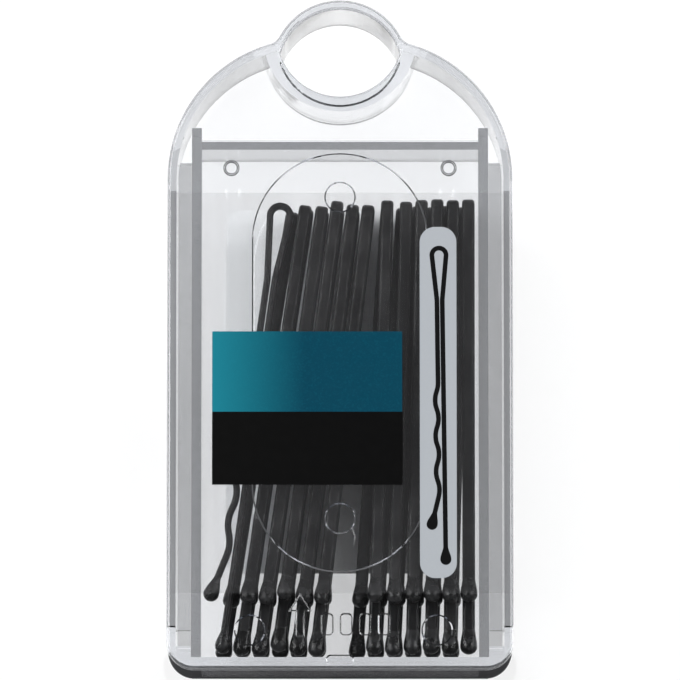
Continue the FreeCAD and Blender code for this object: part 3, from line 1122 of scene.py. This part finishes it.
@dataclass
class WrapLabel:
    """Clear film over the front and both sides of the cover, with its printed panels."""

    stock: PinStock
    film: HazyFilm
    teal: PrintInk
    black: PrintInk
    white: PrintInk
    line: PrintInk
    node: str = "wrap_label"
    film_skin: float = 0.02 * MM
    corner: float = 0.5 * MM
    corner_steps: int = 8
    ink_foot: float = 0.008 * MM
    ink_top: float = 0.004 * MM
    block_round: float = 0.05 * MM
    teal_low: Pair = (-14.18 * MM, -8.86 * MM)
    teal_high: Pair = (6.9 * MM, 0.13 * MM)
    black_low: Pair = (-14.18 * MM, -17.02 * MM)
    black_high: Pair = (6.95 * MM, -8.86 * MM)
    panel_low: Pair = (8.85 * MM, -27.43 * MM)
    panel_high: Pair = (12.93 * MM, 11.86 * MM)
    panel_round: float = 1.7 * MM
    panel_sink: float = 0.003 * MM
    drawn_scale: float = 0.7
    drawn_height: float = 0.004 * MM
    drawn_sink: float = 0.002 * MM
    drawn_flatness: float = 0.0012
    drawn_loop: Pair = (10.98 * MM, 9.87 * MM)
    drawn_foot: Pair = (11.42 * MM, -25.96 * MM)

    def section(self, inset: float) -> list[Pair]:
        """Section of the wrap from hem to hem, drawn in from its outside.

        Args:
            inset: Distance from the film's outer face.

        Returns:
            Points as X and Z.
        """
        low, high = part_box(self.node)
        half, top = high.x - inset, high.z - inset
        radius = self.corner - inset
        points = [(half, low.z)]
        for step in range(self.corner_steps + 1):
            angle = math.radians(90 * step / self.corner_steps)
            points.append((half - radius + radius * math.cos(angle), top - radius + radius * math.sin(angle)))
        return points + [(-x, z) for x, z in reversed(points)]

    def build_film(self) -> bpy.types.Object:
        """Build the thin wrap and let it stand for its node.

        Returns:
            The film.
        """
        low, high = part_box(self.node)
        skin = 2 * self.film_skin
        ring = self.section(self.film_skin) + list(reversed(self.section(skin)))
        bm = bmesh.new()
        foot = [bm.verts.new((x, low.y, z)) for x, z in ring]
        head = [bm.verts.new((x, high.y, z)) for x, z in ring]
        count = len(ring)
        half = count // 2
        for index in range(count):
            after = (index + 1) % count
            bm.faces.new((foot[index], foot[after], head[after], head[index]))
        for index in range(half - 1):
            for row in (foot, head):
                bm.faces.new((row[index], row[index + 1], row[count - 2 - index], row[count - 1 - index]))
        film = add_object("film_wrap", mesh_from("film_wrap", bm, smooth=False))
        film.data.materials.append(self.film.material())
        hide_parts(self.node)
        return film

    def build_panels(self) -> list[bpy.types.Object]:
        """Build the printed blocks and the rounded panel.

        Returns:
            The panels.
        """
        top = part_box(self.node)[1].z
        plans = (
            ("teal_block", self.teal_low, self.teal_high, self.block_round, self.teal, 0.0),
            ("black_block", self.black_low, self.black_high, self.block_round, self.black, 0.0),
            ("pale_panel", self.panel_low, self.panel_high, self.panel_round, self.white, self.panel_sink),
        )
        panels = []
        for name, low, high, radius, ink, sink in plans:
            outline = rounded_outline(low, high, radius)
            panel = slab(name, outline, top - self.ink_foot - sink, top - self.ink_top - sink)
            panel.data.materials.append(ink.material())
            panels.append(panel)
        return panels

    def build_drawing(self) -> bpy.types.Object:
        """Build the small drawn pin on the pale panel.

        Returns:
            The drawing.
        """
        shape = self.stock.shape
        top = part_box(self.node)[1].z
        points = shape.middle_line()
        drawing = self.stock.wire_tree.grow("drawn_pin", points, {
            "Width": self.drawn_height / self.drawn_scale, "Thickness": shape.wire_thickness,
            "Rounding": 0.0, "Material": self.line.material()})
        drops = self.stock.tip_tree.grow("drawn_tips", points, {
            "Drop": self.stock.drop, "Material": self.line.material()})
        drops.data.transform(Matrix.Diagonal((1.0, 1.0, self.drawn_flatness, 1.0)))
        foot, loop = Vector((*self.drawn_foot, 0.0)), Vector((*self.drawn_loop, 0.0))
        lean = math.atan2(loop.x - foot.x, loop.y - foot.y)
        up = Matrix(((0, -1, 0, 0), (1, 0, 0, 0), (0, 0, 1, 0), (0, 0, 0, 1)))
        place = (Matrix.Translation((foot.x, foot.y, top - self.drawn_sink)) @ Matrix.Rotation(-lean, 4, "Z")
                 @ Matrix.Scale(self.drawn_scale, 4) @ up)
        for piece in (drawing, drops):
            piece.data.transform(place)
        bm = bmesh.new()
        bm.from_mesh(drawing.data)
        bm.from_mesh(drops.data)
        bpy.data.objects.remove(drawing)
        bpy.data.objects.remove(drops)
        merged = add_object("drawn_pin", mesh_from("drawn_pin", bm, smooth=False))
        merged.data.materials.append(self.line.material())
        return merged

    def build(self) -> list[bpy.types.Object]:
        """Build the film and its print.

        Returns:
            All pieces of the label.
        """
        pieces = [self.build_film(), *self.build_panels(), self.build_drawing()]
        for piece in pieces:
            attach(piece, Body.COVER.value)
        return pieces


@dataclass
class BackLabel:
    """Paper label in the recess on the back of the tray."""

    paper: LabelPaper
    node: str = "back_label"
    corner: float = 1.5 * MM
    float_gap: float = 0.015 * MM

    def build(self) -> bpy.types.Object:
        """Build the sheet, a hair clear of the recess, and let it stand for its node.

        Returns:
            The label.
        """
        low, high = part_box(self.node)
        outline = rounded_outline(low.xy, high.xy, self.corner)
        label = slab("paper_label", outline, low.z + self.float_gap, high.z - self.float_gap)
        label.data.materials.append(self.paper.material())
        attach(label, Body.TRAY.value)
        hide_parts(self.node)
        return label


@dataclass
class Studio:
    """Pale lit floor, a painted dark strip at the foot of the case, soft lamps and the camera of the
    photograph.
    """

    floor_size: float = 1.6
    floor_level: float = -0.05 * MM
    lens: float = 500.0
    sensor: float = 36.0
    frame_width: float = 75.9 * MM
    elevation: float = 82.0
    target: Triple = (0.0, 0.0, 5.1 * MM)
    foot_round: float = 3.0 * MM
    flag_gap: float = 0.05 * MM
    flag_width: float = 2.0 * MM
    flag_level: float = 0.02 * MM
    flag_steps: int = 12
    # Colour of the strip at the foot, a painted shade seen only in reflections.
    foot_shade_colour: Colour = (0.08, 0.08, 0.083)
    lamp_place: Triple = (0.55, 0.15, 0.5)
    lamp_size: Pair = (0.5, 0.7)
    left_power: float = 5.0
    right_power: float = 3.4
    world_tint: Colour = (0.98, 0.99, 1.0)
    world_stops: tuple[Pair, ...] = ((0.0, 0.12), (0.2, 0.12), (0.42, 0.45), (0.72, 0.45), (0.95, 0.03))
    backdrop: Colour = (0.9, 0.9, 0.9)

    def build(self) -> None:
        """Build the whole studio."""
        self.lay_floor()
        self.lay_foot_shade()
        self.light_world()
        self.hang_lamps()
        self.set_camera()

    def lay_floor(self) -> None:
        """Lay the pale paper that the case lies on."""
        half = self.floor_size / 2
        bm = bmesh.new()
        bmesh.ops.create_grid(bm, x_segments=4, y_segments=4, size=half)
        bmesh.ops.translate(bm, verts=bm.verts, vec=(0.0, 0.0, self.floor_level))
        floor = add_object("studio_floor", mesh_from("studio_floor", bm, smooth=False))
        floor.data.materials.append(SeamlessPaper().material())

    def lay_foot_shade(self) -> None:
        """Lay a dark strip, unseen by the camera, that the rounded foot of the case mirrors: a painted shade
        standing for the shade on the floor at the foot.
        """
        low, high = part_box("tray")
        turns = [-0.5 * math.pi * step / self.flag_steps for step in range(self.flag_steps + 1)]
        bm = bmesh.new()
        rows = []
        for width in (0.0, self.flag_width):
            arc = []
            for turn in turns:
                reach = self.foot_round + self.flag_gap + width * abs(math.sin(turn))
                arc.append((high.x - self.foot_round + reach * math.cos(turn),
                            low.y + self.foot_round + reach * math.sin(turn)))
            around = arc + [(-x, y) for x, y in reversed(arc)]
            rows.append([bm.verts.new((x, y, self.flag_level)) for x, y in around])
        inner, outer = rows
        for index in range(len(inner) - 1):
            bm.faces.new((inner[index], outer[index], outer[index + 1], inner[index + 1]))
        flag = add_object("foot_flag", mesh_from("foot_flag", bm, smooth=False))
        flag.data.materials.append(PlainCard("flag_dark", self.foot_shade_colour).material())
        flag.visible_camera = False
        flag.visible_shadow = False

    def light_world(self) -> None:
        """Surround the case with light from the sides and less from above."""
        world = bpy.data.worlds.new("studio")
        bpy.context.scene.world = world
        board = NodeBoard(world)
        split = board.add("SeparateXYZ", {0: board.add("TexCoord").outputs["Generated"]})
        ramp = board.add("ValToRGB", {"Fac": split.outputs["Z"]})
        stops = ramp.color_ramp.elements
        while len(stops) < len(self.world_stops):
            stops.new(0.5)
        for stop, (height, strength) in zip(stops, self.world_stops):
            stop.position = height
            stop.color = (*(part * strength for part in self.world_tint), 1.0)
        sky = board.add("Background", {"Color": ramp.outputs["Color"]})
        pale = board.add("Background", {"Color": (*self.backdrop, 1.0)})
        seen = board.add("LightPath").outputs["Is Camera Ray"]
        mix = board.add("MixShader", {0: seen, 1: sky.outputs[0], 2: pale.outputs[0]})
        board.add("OutputWorld", {"Surface": mix.outputs[0]})

    def hang_lamps(self) -> None:
        """Hang a soft lamp on each side of the case."""
        across, along, height = self.lamp_place
        plans = (("left_softbox", -across, self.left_power), ("right_softbox", across, self.right_power))
        for name, side, power in plans:
            lamp = bpy.data.lights.new(name, "AREA")
            lamp.shape = "RECTANGLE"
            lamp.size, lamp.size_y = self.lamp_size
            lamp.energy = power
            hung = bpy.data.objects.new(name, lamp)
            hung.location = (side, along, height)
            hung.rotation_euler = (-Vector(hung.location)).to_track_quat("-Z", "Y").to_euler()
            hung.visible_camera = False
            bpy.context.scene.collection.objects.link(hung)

    def set_camera(self) -> None:
        """Stand the camera at the photograph's angle and set how the picture is shown."""
        data = bpy.data.cameras.new("camera")
        data.lens = self.lens
        data.sensor_width = self.sensor
        distance = self.frame_width * self.lens / self.sensor
        angle = math.radians(self.elevation)
        back = Vector((0.0, -math.cos(angle), math.sin(angle)))
        camera = bpy.data.objects.new("camera", data)
        camera.location = Vector(self.target) + back * distance
        camera.rotation_euler = (-back).to_track_quat("-Z", "Y").to_euler()
        bpy.context.scene.collection.objects.link(camera)
        scene = bpy.context.scene
        scene.camera = camera
        scene.view_settings.view_transform = "Standard"
        scene.cycles.max_bounces = 32
        scene.cycles.transmission_bounces = 28
        scene.cycles.transparent_max_bounces = 32
        scene.cycles.glossy_bounces = 8
        scene.cycles.caustics_refractive = True


def main() -> None:
    """Build and dress every piece of the case and note the size of the result."""
    logging.basicConfig(level=logging.INFO, format="%(message)s")
    stock = PinStock()
    made: list[bpy.types.Object] = []
    made.extend(ClearCase(
        ClearPlastic("tray_clear", (0.995, 0.996, 0.998), (0.985, 0.988, 0.993), (0.985, 0.987, 0.99)),
        ClearPlastic("cover_clear", (0.995, 0.997, 0.999), (0.985, 0.989, 0.995), (0.985, 0.988, 0.992)),
    ).build())
    made.append(BackLabel(LabelPaper()).build())
    for joint in frame["joints"]:
        if joint["child"].startswith("pin_"):
            made.extend(BobbyPin(int(joint["child"][-2:]), stock).build())
    made.extend(WrapLabel(
        stock,
        HazyFilm("film_haze", (0.14, 0.14, 0.145), (0.06, 0.1)),
        # Each ink runs from a lighter left colour to a darker right one, a painted light from the left.
        PrintInk("teal_ink", (0.011, 0.225, 0.295), (0.0004, 0.051, 0.088), (-15.5 * MM, -4.0 * MM)),
        PrintInk("black_ink", (0.002, 0.002, 0.002), (0.001, 0.001, 0.0012)),
        PrintInk("white_ink", (0.45, 0.475, 0.505), (0.42, 0.445, 0.475)),
        PrintInk("drawing_ink", (0.005, 0.005, 0.0055), (0.004, 0.004, 0.0045)),
    ).build())
    stock.clear_away()
    for piece in made:
        LOG.info("%s: %d faces", piece.name, len(piece.data.polygons))
    Studio().build()


if __name__ == "__main__":
    main()
